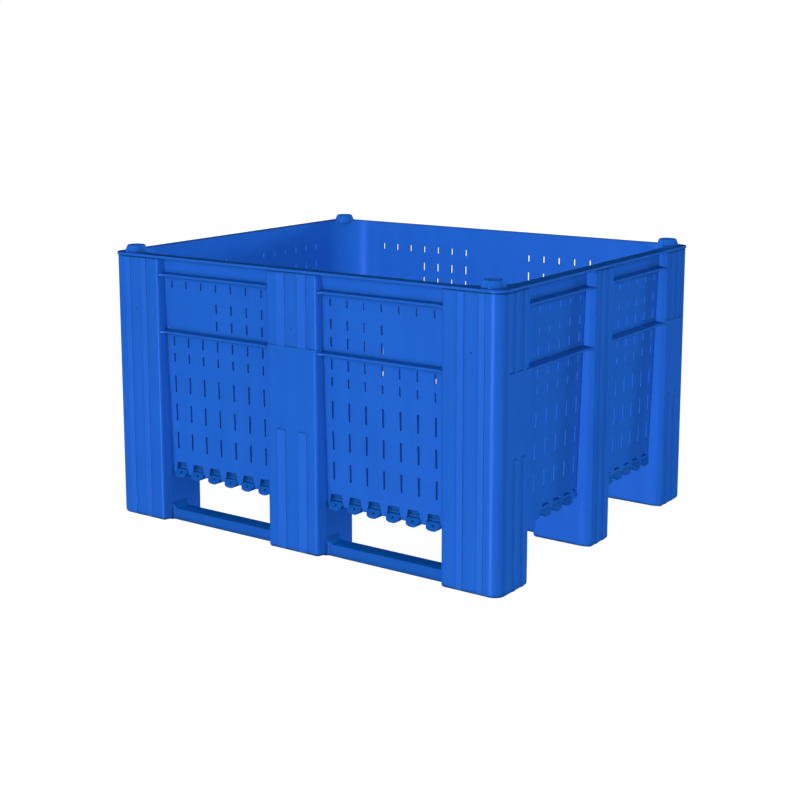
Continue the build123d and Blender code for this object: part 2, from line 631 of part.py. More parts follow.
# ---------------------------------------------------------------- rim
with BuildPart() as rim:
    with BuildSketch(Plane.XY.offset(Z_TOP)):
        RectangleRounded(2 * RIM_X, 2 * RIM_Y, RIM_R)
    extrude(amount=RIM_T)
    with BuildSketch(Plane.XY.offset(Z_RIM)):
        RectangleRounded(2 * RIM_X, 2 * RIM_Y, RIM_R)
    with BuildSketch(Plane.XY.offset(Z_RIM + RIM_RISE)):
        RectangleRounded(2 * (IN_X + 1), 2 * (IN_Y - 5), RIM_R - 20)
    loft(ruled=True)
    add(CAVITY, mode=Mode.SUBTRACT)
    lip = rim.edges().filter_by(lambda e: abs(e.center().Z - Z_RIM) < 0.01 and
                                (abs(e.center().X) > 575 or abs(e.center().Y) > 478))
    fillet(lip, radius=1.6)

with BuildPart() as front_rim_rail:
    add(rim.part)
    extrude(rect_plan(-X_SEAM, X_SEAM, -520, -400, Z_TOP - 5), amount=30, mode=Mode.INTERSECT)

with BuildPart() as rear_rim_rail:
    mirror(front_rim_rail.part, about=Plane.XZ)

with BuildPart() as right_rim_rail:
    add(rim.part)
    extrude(rect_plan(500, 620, -Y_SEAM, Y_SEAM, Z_TOP - 5), amount=30, mode=Mode.INTERSECT)

with BuildPart() as left_rim_rail:
    mirror(right_rim_rail.part, about=Plane.YZ)

with BuildPart() as lug:
    with BuildSketch(Plane.XZ):
        with BuildLine():
            FilletPolyline((0, Z_TOP + 1), (LUG_R, Z_TOP + 1), (LUG_R, Z_RIM + 2), (LUG_TOP_R + 3.5, Z_LUG),
                           (15.0, Z_LUG), (13.0, Z_LUG - 3), (0, Z_LUG - 3),
                           radius=[0, 0, 2, 4.0, 1.2, 1.0, 0], close=True)
        make_face()
    revolve(axis=Axis.Z)

with BuildPart() as lug_core:
    with BuildSketch(Plane.XZ):
        with BuildLine():
            Polyline((0, Z_TOP - 1), (22.5, Z_TOP - 1), (22.5, Z_RIM), (17.5, Z_LUG - 6.5), (0, Z_LUG - 6.5), close=True)
        make_face()
    revolve(axis=Axis.Z)

with BuildPart() as front_right_stacking_corner:
    add(rim.part)
    extrude(rect_plan(X_SEAM, 620, -520, -Y_SEAM, Z_TOP - 5), amount=30, mode=Mode.INTERSECT)
    with Locations((LUG_X, -LUG_Y, 0)):
        add(lug.part)
        add(lug_core.part, mode=Mode.SUBTRACT)

with BuildPart() as front_left_stacking_corner:
    mirror(front_right_stacking_corner.part, about=Plane.YZ)

with BuildPart() as rear_right_stacking_corner:
    mirror(front_right_stacking_corner.part, about=Plane.XZ)

with BuildPart() as rear_left_stacking_corner:
    mirror(front_left_stacking_corner.part, about=Plane.XZ)


# ---------------------------------------------------------------- skids
def skid_span(yc, x0, x1):
    """Bar between two feet, with concave flares at both ends that reach round the sole edges of the feet."""
    w, fl, ex = SKID_W / 2, 6.0, 6.6
    with BuildPart() as b:
        with BuildSketch(Plane.XZ.offset(-yc - 80)):
            with BuildLine():
                Polyline((x0 + SKID_R, SKID_H), (x1 - SKID_R, SKID_H))
                TangentArc((x1 - SKID_R, SKID_H), (x1, SKID_H + SKID_R), tangent=(1, 0))
                Polyline((x1, SKID_H + SKID_R), (x1 + ex, SKID_H + SKID_R), (x1 + ex, 0), (x0 - ex, 0),
                         (x0 - ex, SKID_H + SKID_R), (x0, SKID_H + SKID_R))
                TangentArc((x0 + SKID_R, SKID_H), (x0, SKID_H + SKID_R), tangent=(-1, 0))
            make_face()
        extrude(amount=160)
        with BuildSketch(Plane.XY.offset(-2)):
            with BuildLine():
                Line((x0 + fl, yc - w), (x1 - fl, yc - w))
                TangentArc((x1 - fl, yc - w), (x1, yc - w - fl), tangent=(1, 0))
                Polyline((x1, yc - w - fl), (x1 + ex, yc - w - fl), (x1 + ex, yc + w + fl), (x1, yc + w + fl))
                TangentArc((x1 - fl, yc + w), (x1, yc + w + fl), tangent=(1, 0))
                Line((x1 - fl, yc + w), (x0 + fl, yc + w))
                TangentArc((x0 + fl, yc + w), (x0, yc + w + fl), tangent=(-1, 0))
                Polyline((x0, yc + w + fl), (x0 - ex, yc + w + fl), (x0 - ex, yc - w - fl), (x0, yc - w - fl))
                TangentArc((x0 + fl, yc - w), (x0, yc - w - fl), tangent=(-1, 0))
            make_face()
        extrude(amount=80, mode=Mode.INTERSECT)
    return b.part


def plug(x0, x1, y0, y1, tongues, bosses):
    """Tray that fills the hollow of a foot, with screw bosses and the bar ends that reach into it."""
    with BuildPart() as b:
        extrude(plan([(x0, y0), (x1, y0), (x1, y1), (x0, y1)], [PLUG_R] * 4, 0.0), amount=PLUG_H)
        extrude(rect_plan(x0 + PLUG_T, x1 - PLUG_T, y0 + PLUG_T, y1 - PLUG_T, 8.0), amount=PLUG_H, mode=Mode.SUBTRACT)
        for tx0, tx1, ty0, ty1 in tongues:
            extrude(rect_plan(tx0, tx1, ty0, ty1, 0.0), amount=SKID_H)
        with BuildSketch(Plane.XY):
            with Locations(*bosses):
                Circle(BOSS_R + 3)
        extrude(amount=12.0)
        with BuildSketch(Plane.XY):
            with Locations(*bosses):
                Circle(BOSS_R)
        extrude(amount=PLUG_H)
        with BuildSketch(Plane.XY):
            with Locations(*bosses):
                Circle(HEAD_R + 1)
        extrude(amount=8.0, mode=Mode.SUBTRACT)
        with BuildSketch(Plane.XY):
            with Locations(*bosses):
                Circle(SCREW_R + 0.4)
        extrude(amount=PLUG_H, mode=Mode.SUBTRACT)
    return b.part


G = 0.6
with BuildPart() as front_feet_form:
    add(foot_block(corner_foot_outline))
    mirror(about=Plane.YZ)
    add(foot_block(long_foot_outline))

with BuildPart() as front_skid:
    add(skid_span(-SKID_Y, FOOT_MID_X, FOOT_BACK_X))
    add(skid_span(-SKID_Y, -FOOT_BACK_X, -FOOT_MID_X))
    add(front_feet_form.part, mode=Mode.SUBTRACT)
    add(plug(-FOOT_MID_X + LIP + G, FOOT_MID_X - LIP - G, -468, -(FOOT_BACK_Y + LIP + G),
             ((-FOOT_MID_X - 2, -74, TONGUE_Y0, TONGUE_Y1), (74, FOOT_MID_X + 2, TONGUE_Y0, TONGUE_Y1)), BOSS_LONG))
    add(plug(FOOT_BACK_X + LIP + G, 512, -468, -(FOOT_BACK_Y + LIP + G),
             ((FOOT_BACK_X - 2, 443, TONGUE_Y0, TONGUE_Y1),), BOSS_CORNER))
    add(plug(-512, -(FOOT_BACK_X + LIP + G), -468, -(FOOT_BACK_Y + LIP + G),
             ((-443, -FOOT_BACK_X + 2, TONGUE_Y0, TONGUE_Y1),), tuple((-x, y) for x, y in BOSS_CORNER)))

with BuildPart() as rear_skid:
    mirror(front_skid.part, about=Plane.XZ)

with BuildPart() as middle_feet_form:
    add(foot_block(short_foot_outline))
    mirror(about=Plane.YZ)
    add(foot_block(centre_foot_outline))

with BuildPart() as middle_skid:
    add(skid_span(0.0, FOOT_MID_X, FOOT_BACK_X))
    add(skid_span(0.0, -FOOT_BACK_X, -FOOT_MID_X))
    add(middle_feet_form.part, mode=Mode.SUBTRACT)
    add(plug(-FOOT_MID_X + LIP + G, FOOT_MID_X - LIP - G, -FOOT_MID_Y + LIP + G, FOOT_MID_Y - LIP - G,
             ((-FOOT_MID_X - 2, -74, -SKID_W / 2, SKID_W / 2), (74, FOOT_MID_X + 2, -SKID_W / 2, SKID_W / 2)), BOSS_CENTRE))
    add(plug(FOOT_BACK_X + LIP + G, 566, -FOOT_MID_Y + LIP + G, FOOT_MID_Y - LIP - G,
             ((FOOT_BACK_X - 2, 443, -SKID_W / 2, SKID_W / 2),), BOSS_SHORT))
    add(plug(-566, -(FOOT_BACK_X + LIP + G), -FOOT_MID_Y + LIP + G, FOOT_MID_Y - LIP - G,
             ((-443, -FOOT_BACK_X + 2, -SKID_W / 2, SKID_W / 2),), tuple((-x, y) for x, y in BOSS_SHORT)))

# ---------------------------------------------------------------- screws
with BuildPart() as screw:
    with BuildSketch(Plane.XY.offset(3.0)):
        Circle(HEAD_R)
    extrude(amount=5.0)
    with BuildSketch(Plane.XY.offset(8.0)):
        Circle(SCREW_R)
    extrude(amount=47.0)
    with BuildSketch(Plane.XY.offset(3.0)):
        RegularPolygon(2.9, 6)
    extrude(amount=3.0, mode=Mode.SUBTRACT)
    fillet(screw.edges().filter_by(GeomType.CIRCLE).filter_by(
        lambda e: abs(e.center().Z - 3.0) < 0.01 and e.radius > 6), radius=1.0)

SCREW_AT = []
for bx, by in BOSS_CORNER:
    SCREW_AT += [(bx, by), (-bx, by), (bx, -by), (-bx, -by)]
for bx, by in BOSS_LONG:
    SCREW_AT += [(bx, by), (bx, -by)]
for bx, by in BOSS_SHORT:
    SCREW_AT += [(bx, by), (-bx, by)]
SCREW_AT += list(BOSS_CENTRE)

with BuildPart() as skid_screws:
    with Locations(*[(x, y, 0) for x, y in SCREW_AT]):
        add(screw.part)

# ---------------------------------------------------------------- export
NODES = {
    "floor_deck": floor_deck,
    "floor_rib_grid": floor_rib_grid,
    "front_wall": front_wall,
    "rear_wall": rear_wall,
    "left_wall": left_wall,
    "right_wall": right_wall,
    "front_left_corner_post": front_left_corner_post,
    "front_right_corner_post": front_right_corner_post,
    "rear_left_corner_post": rear_left_corner_post,
    "rear_right_corner_post": rear_right_corner_post,
    "front_centre_post": front_centre_post,
    "rear_centre_post": rear_centre_post,
    "left_centre_post": left_centre_post,
    "right_centre_post": right_centre_post,
    "front_left_corner_foot": front_left_corner_foot,
    "front_right_corner_foot": front_right_corner_foot,
    "rear_left_corner_foot": rear_left_corner_foot,
    "rear_right_corner_foot": rear_right_corner_foot,
    "front_centre_foot": front_centre_foot,
    "rear_centre_foot": rear_centre_foot,
    "left_centre_foot": left_centre_foot,
    "right_centre_foot": right_centre_foot,
    "centre_foot": centre_foot,
    "front_rim_rail": front_rim_rail,
    "rear_rim_rail": rear_rim_rail,
    "left_rim_rail": left_rim_rail,
    "right_rim_rail": right_rim_rail,
    "front_left_stacking_corner": front_left_stacking_corner,
    "front_right_stacking_corner": front_right_stacking_corner,
    "rear_left_stacking_corner": rear_left_stacking_corner,
    "rear_right_stacking_corner": rear_right_stacking_corner,
    "front_skid": front_skid,
    "middle_skid": middle_skid,
    "rear_skid": rear_skid,
    "skid_screws": skid_screws,
}

for node, b in NODES.items():
    b.part.label = node
    bb = b.part.bounding_box()
    print(node, "solids", len(b.part.solids()), "vol_l", round(b.part.volume / 1e6, 3), "valid", b.part.is_valid,
          [round(v, 1) for v in (bb.min.X, bb.min.Y, bb.min.Z, bb.max.X, bb.max.Y, bb.max.Z)])
    export_step(b.part, "parts/" + node + ".step")
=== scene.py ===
import math

import bpy
from mathutils import Euler, Matrix, Vector

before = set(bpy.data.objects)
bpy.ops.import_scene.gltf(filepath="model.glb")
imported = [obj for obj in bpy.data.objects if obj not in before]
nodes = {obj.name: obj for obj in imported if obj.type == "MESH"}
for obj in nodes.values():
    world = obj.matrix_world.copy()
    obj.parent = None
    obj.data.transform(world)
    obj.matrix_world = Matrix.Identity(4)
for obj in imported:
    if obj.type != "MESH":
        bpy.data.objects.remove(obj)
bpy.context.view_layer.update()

scene = bpy.context.scene


# ------------------------------------------------------------------ small node helpers
def node(tree, kind, at=(0, 0), **values):
    n = tree.nodes.new(kind)
    n.location = at
    for k, v in values.items():
        setattr(n, k, v)
    return n


def put(n, name, value):
    n.inputs[name].default_value = value


def link(tree, a, b):
    tree.links.new(a, b)


def ramp(tree, low, high, stops):
    """Colour ramp with (position, colour) stops."""
    r = node(tree, "ShaderNodeValToRGB")
    e = r.color_ramp.elements
    while len(e) > 1:
        e.remove(e[-1])
    e[0].position, e[0].color = stops[0]
    for p, c in stops[1:]:
        x = e.new(p)
        x.color = c
    return r


# ------------------------------------------------------------------ moulded plastic
def moulded(name, base, shift, rough=0.34, specular=0.60, top_light=None, levels=(0.141, 0.146)):
    m = bpy.data.materials.new(name)
    m.use_nodes = True
    t = m.node_tree
    t.nodes.clear()
    out = node(t, "ShaderNodeOutputMaterial", (900, 0))
    bsdf = node(t, "ShaderNodeBsdfPrincipled", (600, 0))
    link(t, bsdf.outputs["BSDF"], out.inputs["Surface"])
    put(bsdf, "IOR", 1.5)
    put(bsdf, "Specular IOR Level", specular)
    put(bsdf, "Specular Tint", (0.09, 0.19, 1.0, 1))

    co = node(t, "ShaderNodeTexCoord", (-1200, 0))
    place = node(t, "ShaderNodeMapping", (-1000, 0))
    put(place, "Location", shift)
    link(t, co.outputs["Object"], place.inputs["Vector"])

    # broad, faint unevenness of the pigment
    broad = node(t, "ShaderNodeTexNoise", (-700, 300))
    put(broad, "Scale", 4.5)
    put(broad, "Detail", 3.0)
    put(broad, "Roughness", 0.55)
    link(t, place.outputs["Vector"], broad.inputs["Vector"])

    # flow lines left by the melt, drawn out along the height
    long_place = node(t, "ShaderNodeMapping", (-1000, -300))
    put(long_place, "Scale", (26.0, 26.0, 1.6))
    put(long_place, "Location", shift)
    link(t, co.outputs["Object"], long_place.inputs["Vector"])
    flow = node(t, "ShaderNodeTexNoise", (-700, 0))
    put(flow, "Scale", 1.0)
    put(flow, "Detail", 4.0)
    put(flow, "Roughness", 0.6)
    link(t, long_place.outputs["Vector"], flow.inputs["Vector"])

    dark = tuple(c * 0.93 for c in base) + (1,)
    light = tuple(min(1, c * 1.06 + 0.001) for c in base) + (1,)
    tone = ramp(t, 0, 1, [(0.28, dark), (0.5, tuple(base) + (1,)), (0.74, light)])
    mixed = node(t, "ShaderNodeMix", (-450, 200), data_type="FLOAT")
    put(mixed, "Factor", 0.4)
    link(t, broad.outputs["Fac"], mixed.inputs["A"])
    link(t, flow.outputs["Fac"], mixed.inputs["B"])
    link(t, mixed.outputs["Result"], tone.inputs["Fac"])

    # rounded mould edges; the members of the one moulding run into each other at their seams
    edge = node(t, "ShaderNodeBevel", (-1500, -500), samples=6)
    put(edge, "Radius", 0.0024)
    geo = node(t, "ShaderNodeNewGeometry", (-1500, -650))
    xyz = node(t, "ShaderNodeSeparateXYZ", (-1500, -850))
    link(t, co.outputs["Object"], xyz.inputs["Vector"])
    seam = None
    for i, (axis, places) in enumerate((("X", (0.4348,)), ("Y", (0.3611,)), ("Z", levels))):
        size = node(t, "ShaderNodeMath", (-1300, -850 - 160 * i), operation="ABSOLUTE")
        link(t, xyz.outputs[axis], size.inputs[0])
        for at in places:
            near = node(t, "ShaderNodeMath", (-1100, -850 - 160 * i), operation="COMPARE")
            near.inputs[1].default_value = at
            near.inputs[2].default_value = 0.0032
            link(t, size.outputs["Value"], near.inputs[0])
            if seam is None:
                seam = near
            else:
                most = node(t, "ShaderNodeMath", (-950, -850 - 160 * i), operation="MAXIMUM")
                link(t, seam.outputs["Value"], most.inputs[0])
                link(t, near.outputs["Value"], most.inputs[1])
                seam = most
    soft = node(t, "ShaderNodeMix", (-800, -500), data_type="VECTOR")
    link(t, seam.outputs["Value"], soft.inputs["Factor"])
    link(t, edge.outputs["Normal"], soft.inputs[4])
    link(t, geo.outputs["Normal"], soft.inputs[5])

    # how far a spot lies in a crease
    crease = node(t, "ShaderNodeAmbientOcclusion", (-900, -1300), samples=4)
    put(crease, "Distance", 0.014)

    # painted highlight: rounded edges are painted paler where the rounded normal leaves the flat one, outside
    # creases, in patches
    lean = node(t, "ShaderNodeVectorMath", (-700, -550), operation="DOT_PRODUCT")
    link(t, soft.outputs[1], lean.inputs[0])
    link(t, geo.outputs["Normal"], lean.inputs[1])
    edge_highlight = node(t, "ShaderNodeMapRange", (-500, -550))
    put(edge_highlight, "From Min", 0.995)
    put(edge_highlight, "From Max", 0.80)
    link(t, lean.outputs["Value"], edge_highlight.inputs["Value"])
    proud = node(t, "ShaderNodeMapRange", (-500, -1100))
    put(proud, "From Min", 0.75)
    put(proud, "From Max", 0.92)
    link(t, crease.outputs["AO"], proud.inputs["Value"])
    patchy_noise = node(t, "ShaderNodeTexNoise", (-700, -800))
    put(patchy_noise, "Scale", 38.0)
    put(patchy_noise, "Detail", 5.0)
    put(patchy_noise, "Roughness", 0.7)
    link(t, place.outputs["Vector"], patchy_noise.inputs["Vector"])
    patch = node(t, "ShaderNodeMapRange", (-500, -800))
    put(patch, "From Min", 0.40)
    put(patch, "From Max", 0.70)
    put(patch, "To Min", 0.55)
    link(t, patchy_noise.outputs["Fac"], patch.inputs["Value"])
    both = node(t, "ShaderNodeMath", (-300, -500), operation="MULTIPLY")
    link(t, edge_highlight.outputs["Result"], both.inputs[0])
    link(t, patch.outputs["Result"], both.inputs[1])
    open_edge = node(t, "ShaderNodeMath", (-200, -600), operation="MULTIPLY")
    link(t, both.outputs["Value"], open_edge.inputs[0])
    link(t, proud.outputs["Result"], open_edge.inputs[1])
    share = node(t, "ShaderNodeMath", (-150, -500), operation="MULTIPLY")
    share.inputs[1].default_value = 0.9
    link(t, open_edge.outputs["Value"], share.inputs[0])
    # painted highlight colour, paler than the base
    highlighted = node(t, "ShaderNodeMix", (100, 150), data_type="RGBA")
    highlighted.inputs["B"].default_value = (base[0] * 2.4, base[1] * 1.42, base[2] * 1.36, 1)
    link(t, tone.outputs["Color"], highlighted.inputs["A"])

    # painted shade: creases are painted darker the more occluded they are
    crease_shade = node(t, "ShaderNodeMapRange", (-300, -1300))
    put(crease_shade, "From Min", 0.95)
    put(crease_shade, "From Max", 0.42)
    put(crease_shade, "To Max", 0.95)
    link(t, crease.outputs["AO"], crease_shade.inputs["Value"])

    # the painted crease shade is nearly left off the flanks of the slots in the short walls, and of the posts
    # beside them
    along = node(t, "ShaderNodeSeparateXYZ", (-900, -1500))
    link(t, geo.outputs["Normal"], along.inputs["Vector"])
    turn = node(t, "ShaderNodeMath", (-700, -1500), operation="ABSOLUTE")
    link(t, along.outputs["Y"], turn.inputs[0])
    flank = node(t, "ShaderNodeMath", (-500, -1500), operation="GREATER_THAN")
    flank.inputs[1].default_value = 0.90
    link(t, turn.outputs["Value"], flank.inputs[0])
    reach = node(t, "ShaderNodeMath", (-700, -1700), operation="ABSOLUTE")
    link(t, xyz.outputs["X"], reach.inputs[0])
    short = node(t, "ShaderNodeMath", (-500, -1700), operation="GREATER_THAN")
    short.inputs[1].default_value = 0.5535
    link(t, reach.outputs["Value"], short.inputs[0])
    unshaded_slot_flank = node(t, "ShaderNodeMath", (-300, -1600), operation="MULTIPLY")
    link(t, flank.outputs["Value"], unshaded_slot_flank.inputs[0])
    link(t, short.outputs["Value"], unshaded_slot_flank.inputs[1])
    # and off the sides of the bays in the long walls
    turn_x = node(t, "ShaderNodeMath", (-700, -1400), operation="ABSOLUTE")
    link(t, along.outputs["X"], turn_x.inputs[0])
    flank_x = node(t, "ShaderNodeMath", (-500, -1400), operation="GREATER_THAN")
    flank_x.inputs[1].default_value = 0.90
    link(t, turn_x.outputs["Value"], flank_x.inputs[0])
    reach_y = node(t, "ShaderNodeMath", (-700, -1800), operation="ABSOLUTE")
    link(t, xyz.outputs["Y"], reach_y.inputs[0])
    long = node(t, "ShaderNodeMath", (-500, -1800), operation="GREATER_THAN")
    long.inputs[1].default_value = 0.481
    link(t, reach_y.outputs["Value"], long.inputs[0])
    unshaded_bay_flank = node(t, "ShaderNodeMath", (-300, -1700), operation="MULTIPLY")
    link(t, flank_x.outputs["Value"], unshaded_bay_flank.inputs[0])
    link(t, long.outputs["Value"], unshaded_bay_flank.inputs[1])
    unshaded_flank = node(t, "ShaderNodeMath", (-200, -1650), operation="MAXIMUM")
    link(t, unshaded_slot_flank.outputs["Value"], unshaded_flank.inputs[0])
    link(t, unshaded_bay_flank.outputs["Value"], unshaded_flank.inputs[1])
    # painted highlight: the raised strips of the long sides are painted a little paler
    strip_low = node(t, "ShaderNodeMath", (-500, -2000), operation="COMPARE")
    strip_low.inputs[1].default_value = 0.4995
    strip_low.inputs[2].default_value = 0.0003
    link(t, reach_y.outputs["Value"], strip_low.inputs[0])
    strip_up = node(t, "ShaderNodeMath", (-500, -2150), operation="COMPARE")
    strip_up.inputs[1].default_value = 0.4970
    strip_up.inputs[2].default_value = 0.0002
    link(t, reach_y.outputs["Value"], strip_up.inputs[0])
    middle = node(t, "ShaderNodeMath", (-500, -2300), operation="LESS_THAN")
    middle.inputs[1].default_value = 0.055
    link(t, reach.outputs["Value"], middle.inputs[0])
    strip_mid = node(t, "ShaderNodeMath", (-300, -2200), operation="MULTIPLY")
    link(t, strip_up.outputs["Value"], strip_mid.inputs[0])
    link(t, middle.outputs["Value"], strip_mid.inputs[1])
    strip = node(t, "ShaderNodeMath", (-200, -2100), operation="MAXIMUM")
    link(t, strip_low.outputs["Value"], strip.inputs[0])
    link(t, strip_mid.outputs["Value"], strip.inputs[1])
    strip_highlight = node(t, "ShaderNodeMath", (-100, -2100), operation="MULTIPLY")
    strip_highlight.inputs[1].default_value = 0.25
    link(t, strip.outputs["Value"], strip_highlight.inputs[0])
    highlight_amount = node(t, "ShaderNodeMath", (0, -2100), operation="MAXIMUM")
    link(t, share.outputs["Value"], highlight_amount.inputs[0])
    link(t, strip_highlight.outputs["Value"], highlight_amount.inputs[1])
    link(t, highlight_amount.outputs["Value"], highlighted.inputs["Factor"])
    kept = node(t, "ShaderNodeMapRange", (-100, -1600))
    put(kept, "To Min", 1.0)
    put(kept, "To Max", 0.08)
    link(t, unshaded_flank.outputs["Value"], kept.inputs["Value"])
    # painted crease shade, with less of it on the flanks above
    crease_shade_kept = node(t, "ShaderNodeMath", (100, -1450), operation="MULTIPLY")
    link(t, crease_shade.outputs["Result"], crease_shade_kept.inputs[0])
    link(t, kept.outputs["Result"], crease_shade_kept.inputs[1])

    # painted shadow: a dark line right under the lip of the rim, outside the tub
    lip = node(t, "ShaderNodeMath", (-300, -1850), operation="COMPARE")
    lip.inputs[1].default_value = 0.7040
    lip.inputs[2].default_value = 0.0019
    link(t, xyz.outputs["Z"], lip.inputs[0])
    lip_shadow = node(t, "ShaderNodeMath", (-100, -1850), operation="MULTIPLY")
    lip_shadow.inputs[1].default_value = 0.85
    link(t, lip.outputs["Value"], lip_shadow.inputs[0])
    outer = node(t, "ShaderNodeMath", (100, -1850), operation="MULTIPLY")
    link(t, lip_shadow.outputs["Value"], outer.inputs[0])
    crease_and_lip_shade = node(t, "ShaderNodeMath", (300, -1450), operation="MAXIMUM")
    link(t, crease_shade_kept.outputs["Value"], crease_and_lip_shade.inputs[0])
    link(t, outer.outputs["Value"], crease_and_lip_shade.inputs[1])

    # inside of the tub, which is painted darker as shade
    depth = None
    for axis, limit in (("X", 0.5529), ("Y", 0.4589)):
        size = node(t, "ShaderNodeMath", (-700, -2050), operation="ABSOLUTE")
        link(t, xyz.outputs[axis], size.inputs[0])
        lean_in = node(t, "ShaderNodeMath", (-600, -2050), operation="MULTIPLY_ADD")
        lean_in.inputs[1].default_value = -0.02474
        link(t, xyz.outputs["Z"], lean_in.inputs[0])
        link(t, size.outputs["Value"], lean_in.inputs[2])
        within = node(t, "ShaderNodeMath", (-500, -2050), operation="LESS_THAN")
        within.inputs[1].default_value = limit
        link(t, lean_in.outputs["Value"], within.inputs[0])
        if depth is None:
            depth = within
        else:
            inner = node(t, "ShaderNodeMath", (-300, -2050), operation="MULTIPLY")
            link(t, depth.outputs["Value"], inner.inputs[0])
            link(t, within.outputs["Value"], inner.inputs[1])
    above = node(t, "ShaderNodeMath", (-500, -2250), operation="GREATER_THAN")
    above.inputs[1].default_value = 0.1455
    link(t, xyz.outputs["Z"], above.inputs[0])
    inside = node(t, "ShaderNodeMath", (-100, -2050), operation="MULTIPLY")
    link(t, inner.outputs["Value"], inside.inputs[0])
    link(t, above.outputs["Value"], inside.inputs[1])
    outside = node(t, "ShaderNodeMath", (0, -1950), operation="SUBTRACT")
    outside.inputs[0].default_value = 1.0
    link(t, inside.outputs["Value"], outside.inputs[1])
    link(t, outside.outputs["Value"], outer.inputs[1])
    # painted shade colour: dark teal mixed in at the creases, under the rim lip and on the ledge tops
    shaded = node(t, "ShaderNodeMix", (300, 150), data_type="RGBA")
    shaded.inputs["B"].default_value = (base[0] * 0.10, base[1] * 0.36, base[2] * 0.26, 1)
    if top_light is None:
        # painted shade: up-facing tops of the ledges and of the rim, below the lugs, are painted darker
        shelf = node(t, "ShaderNodeMapRange", (-300, -2450))
        put(shelf, "From Min", 0.70)
        put(shelf, "From Max", 0.95)
        link(t, along.outputs["Z"], shelf.inputs["Value"])
        below = node(t, "ShaderNodeMath", (-300, -2650), operation="LESS_THAN")
        below.inputs[1].default_value = 0.7135
        link(t, xyz.outputs["Z"], below.inputs[0])
        flat = node(t, "ShaderNodeMath", (-100, -2450), operation="MULTIPLY")
        link(t, shelf.outputs["Result"], flat.inputs[0])
        link(t, below.outputs["Value"], flat.inputs[1])
        bare = node(t, "ShaderNodeMath", (100, -2450), operation="MULTIPLY")
        link(t, flat.outputs["Value"], bare.inputs[0])
        link(t, outside.outputs["Value"], bare.inputs[1])
        ledge_top_shade = node(t, "ShaderNodeMath", (300, -2450), operation="MULTIPLY")
        ledge_top_shade.inputs[1].default_value = 0.50
        link(t, bare.outputs["Value"], ledge_top_shade.inputs[0])
        all_shade = node(t, "ShaderNodeMath", (400, -1450), operation="MAXIMUM")
        link(t, crease_and_lip_shade.outputs["Value"], all_shade.inputs[0])
        link(t, ledge_top_shade.outputs["Value"], all_shade.inputs[1])
        link(t, all_shade.outputs["Value"], shaded.inputs["Factor"])
        link(t, highlighted.outputs["Result"], shaded.inputs["A"])
    else:
        link(t, crease_and_lip_shade.outputs["Value"], shaded.inputs["Factor"])
        # painted light: faces that look up are painted paler, in patches
        up = node(t, "ShaderNodeMapRange", (-100, 400))
        put(up, "From Min", 0.55)
        put(up, "From Max", 0.90)
        link(t, along.outputs["Z"], up.inputs["Value"])
        top_light_patches = node(t, "ShaderNodeMapRange", (-100, 600))
        put(top_light_patches, "From Min", 0.3)
        put(top_light_patches, "From Max", 0.7)
        put(top_light_patches, "To Min", 0.82)
        link(t, patchy_noise.outputs["Fac"], top_light_patches.inputs["Value"])
        top_light_amount = node(t, "ShaderNodeMath", (100, 500), operation="MULTIPLY")
        link(t, up.outputs["Result"], top_light_amount.inputs[0])
        link(t, top_light_patches.outputs["Result"], top_light_amount.inputs[1])
        top_lit = node(t, "ShaderNodeMix", (200, 350), data_type="RGBA")
        top_lit.inputs["B"].default_value = tuple(top_light) + (1,)
        link(t, top_light_amount.outputs["Value"], top_lit.inputs["Factor"])
        link(t, highlighted.outputs["Result"], top_lit.inputs["A"])
        link(t, top_lit.outputs["Result"], shaded.inputs["A"])
    # painted shade: the inside of the tub is painted darker
    inner_shade = node(t, "ShaderNodeMix", (450, 150), data_type="RGBA", blend_type="MULTIPLY")
    inner_shade.inputs["B"].default_value = (0.92, 0.97, 0.87, 1)
    link(t, inside.outputs["Value"], inner_shade.inputs["Factor"])
    link(t, shaded.outputs["Result"], inner_shade.inputs["A"])
    # painted shade: the front- and back-facing sides of the posts along the short walls are painted darker
    proud_x = node(t, "ShaderNodeMath", (300, -1700), operation="GREATER_THAN")
    proud_x.inputs[1].default_value = 0.582
    link(t, reach.outputs["Value"], proud_x.inputs[0])
    side = node(t, "ShaderNodeMath", (400, -1600), operation="MULTIPLY")
    link(t, flank.outputs["Value"], side.inputs[0])
    link(t, proud_x.outputs["Value"], side.inputs[1])
    post_side_shade = node(t, "ShaderNodeMix", (520, 150), data_type="RGBA", blend_type="MULTIPLY")
    post_side_shade.inputs["B"].default_value = (0.85, 0.88, 0.84, 1)
    link(t, side.outputs["Value"], post_side_shade.inputs["Factor"])
    link(t, inner_shade.outputs["Result"], post_side_shade.inputs["A"])
    link(t, post_side_shade.outputs["Result"], bsdf.inputs["Base Color"])

    # sheen varies with the flow lines
    gloss = node(t, "ShaderNodeMapRange", (100, -150))
    put(gloss, "From Min", 0.3)
    put(gloss, "From Max", 0.7)
    put(gloss, "To Min", rough - 0.06)
    put(gloss, "To Max", rough + 0.07)
    link(t, flow.outputs["Fac"], gloss.inputs["Value"])
    link(t, gloss.outputs["Result"], bsdf.inputs["Roughness"])

